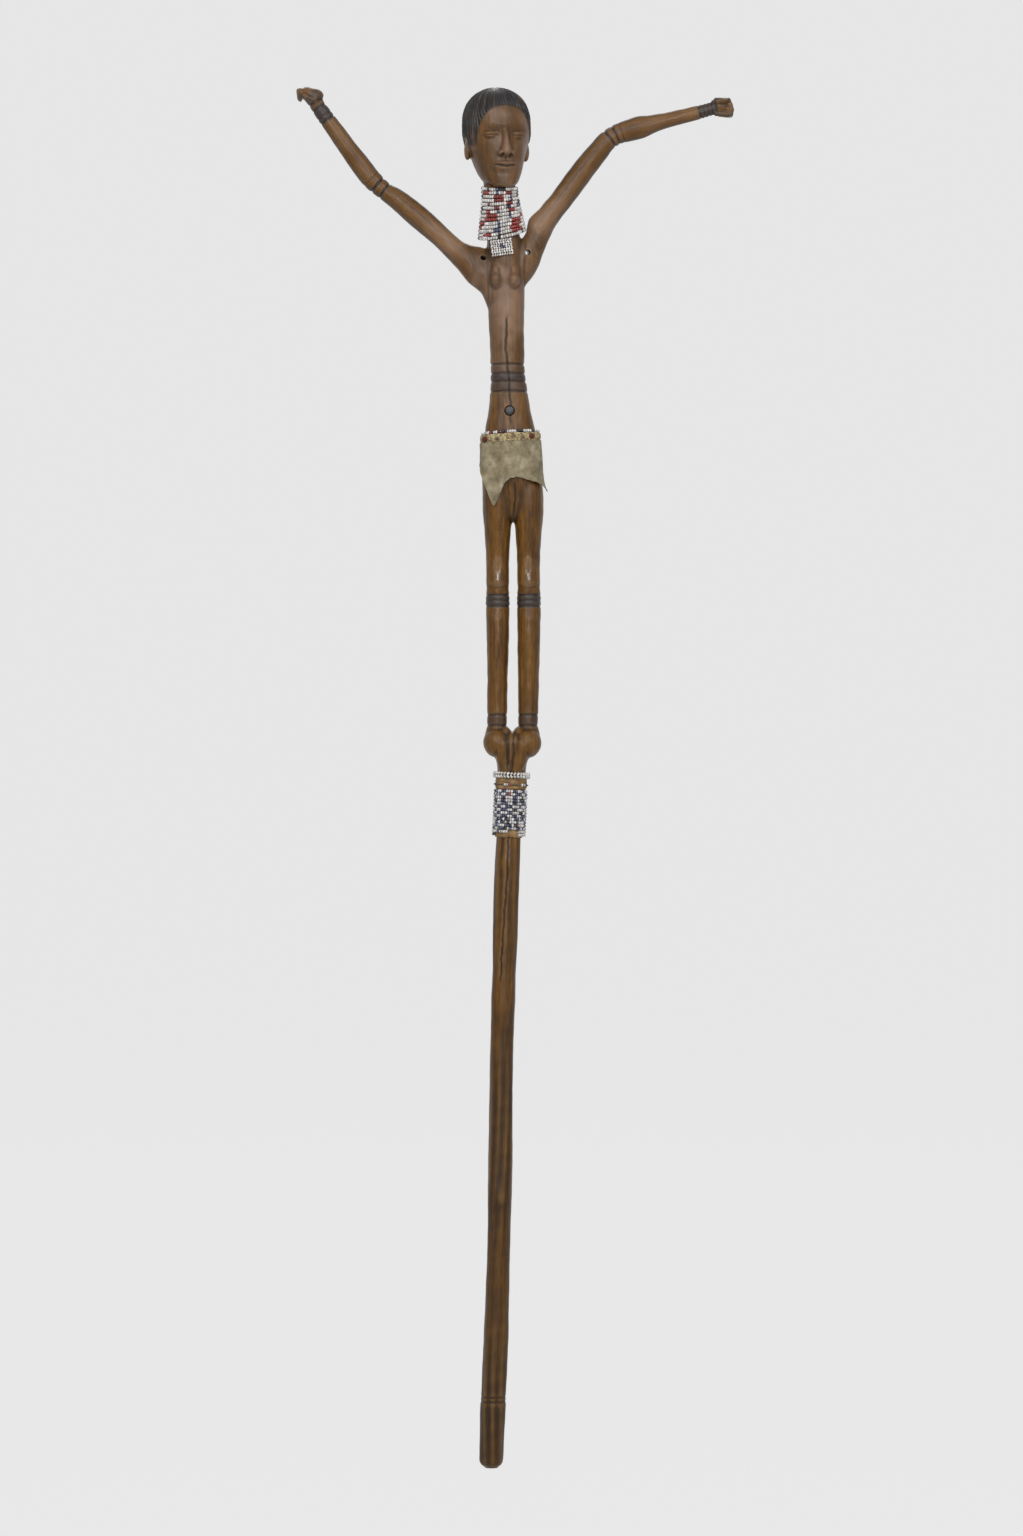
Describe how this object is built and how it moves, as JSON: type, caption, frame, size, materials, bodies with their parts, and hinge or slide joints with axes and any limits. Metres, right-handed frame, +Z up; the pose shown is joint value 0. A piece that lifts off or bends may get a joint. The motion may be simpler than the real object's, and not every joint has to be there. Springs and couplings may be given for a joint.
{
  "type": "figurative staff",
  "caption": "Tall wooden staff carved as a standing figure with raised arms, with a bead collar and tab, a hide apron and a beaded leather sleeve.",
  "frame": {"origin": "centre of the flat foot tip of the shaft", "axes": "+Z up along the staff, -Y the way the figure faces, +X to the viewer's right when facing the figure"},
  "size_m": [0.3191, 0.0618, 1],
  "materials": {
    "staff_wood": "hand-polished dark wood with a worn patina",
    "plug_wood": "charred dark wood",
    "white_beads": "opaque white glass, glossy",
    "red_beads": "opaque brick-red glass, glossy",
    "navy_beads": "opaque navy glass, glossy",
    "hide": "scraped grey-tan hide, matte",
    "sleeve_leather": "tan leather, dry"
  },
  "bodies": {
    "staff": {"carved_staff": "staff_wood", "navel_plug": "plug_wood", "neck_string": "white_beads", "waist_bead_string": "white_beads", "hide_waistband": "hide", "leather_sleeve": "sleeve_leather", "collar_strand_1": "white_beads", "collar_strand_2": "white_beads", "collar_strand_3": "red_beads", "collar_strand_4": "white_beads", "collar_strand_5": "white_beads", "collar_strand_6": "white_beads", "collar_strand_7": "red_beads", "collar_strand_8": "white_beads", "collar_strand_9": "white_beads", "collar_strand_10": "white_beads", "collar_strand_11": "red_beads", "collar_strand_12": "white_beads", "collar_strand_13": "white_beads", "sleeve_strand_1": "navy_beads", "sleeve_strand_2": "white_beads", "sleeve_strand_3": "navy_beads", "sleeve_strand_4": "white_beads", "sleeve_strand_5": "navy_beads", "sleeve_strand_6": "white_beads", "sleeve_strand_7": "navy_beads", "sleeve_strand_8": "white_beads", "sleeve_strand_9": "navy_beads", "sleeve_strand_10": "white_beads", "sleeve_strand_11": "navy_beads", "sleeve_strand_12": "white_beads", "sleeve_strand_13": "navy_beads", "sleeve_loop_1": "white_beads", "sleeve_loop_2": "white_beads"},
    "tab": {"pendant_tab": "white_beads"},
    "apron": {"hide_apron": "hide"},
    "thread": {"loose_thread": "white_beads"},
    "ring": {"twisted_bead_ring": "white_beads"}
  },
  "joints": [
    {"name": "tab_swing", "type": "hinge", "parent": "staff", "child": "tab", "pos_m": [0.00638, -0.01378, 0.88906], "axis": [-0.9903, 0, -0.1392], "range_deg": [0, 75]},
    {"name": "apron_lift", "type": "hinge", "parent": "staff", "child": "apron", "pos_m": [0.0139, -0.0173, 0.7402], "axis": [-0.9986, 0, -0.0523], "range_deg": [0, 35]},
    {"name": "ring_turn", "type": "hinge", "parent": "staff", "child": "ring", "pos_m": [0.01239, 0, 0.4565], "axis": [0.0467, 0, 0.9989], "continuous": true},
    {"name": "thread_turn", "type": "hinge", "parent": "staff", "child": "thread", "pos_m": [0.01239, 0, 0.4565], "axis": [0.0467, 0, 0.9989], "continuous": true}
  ]
}
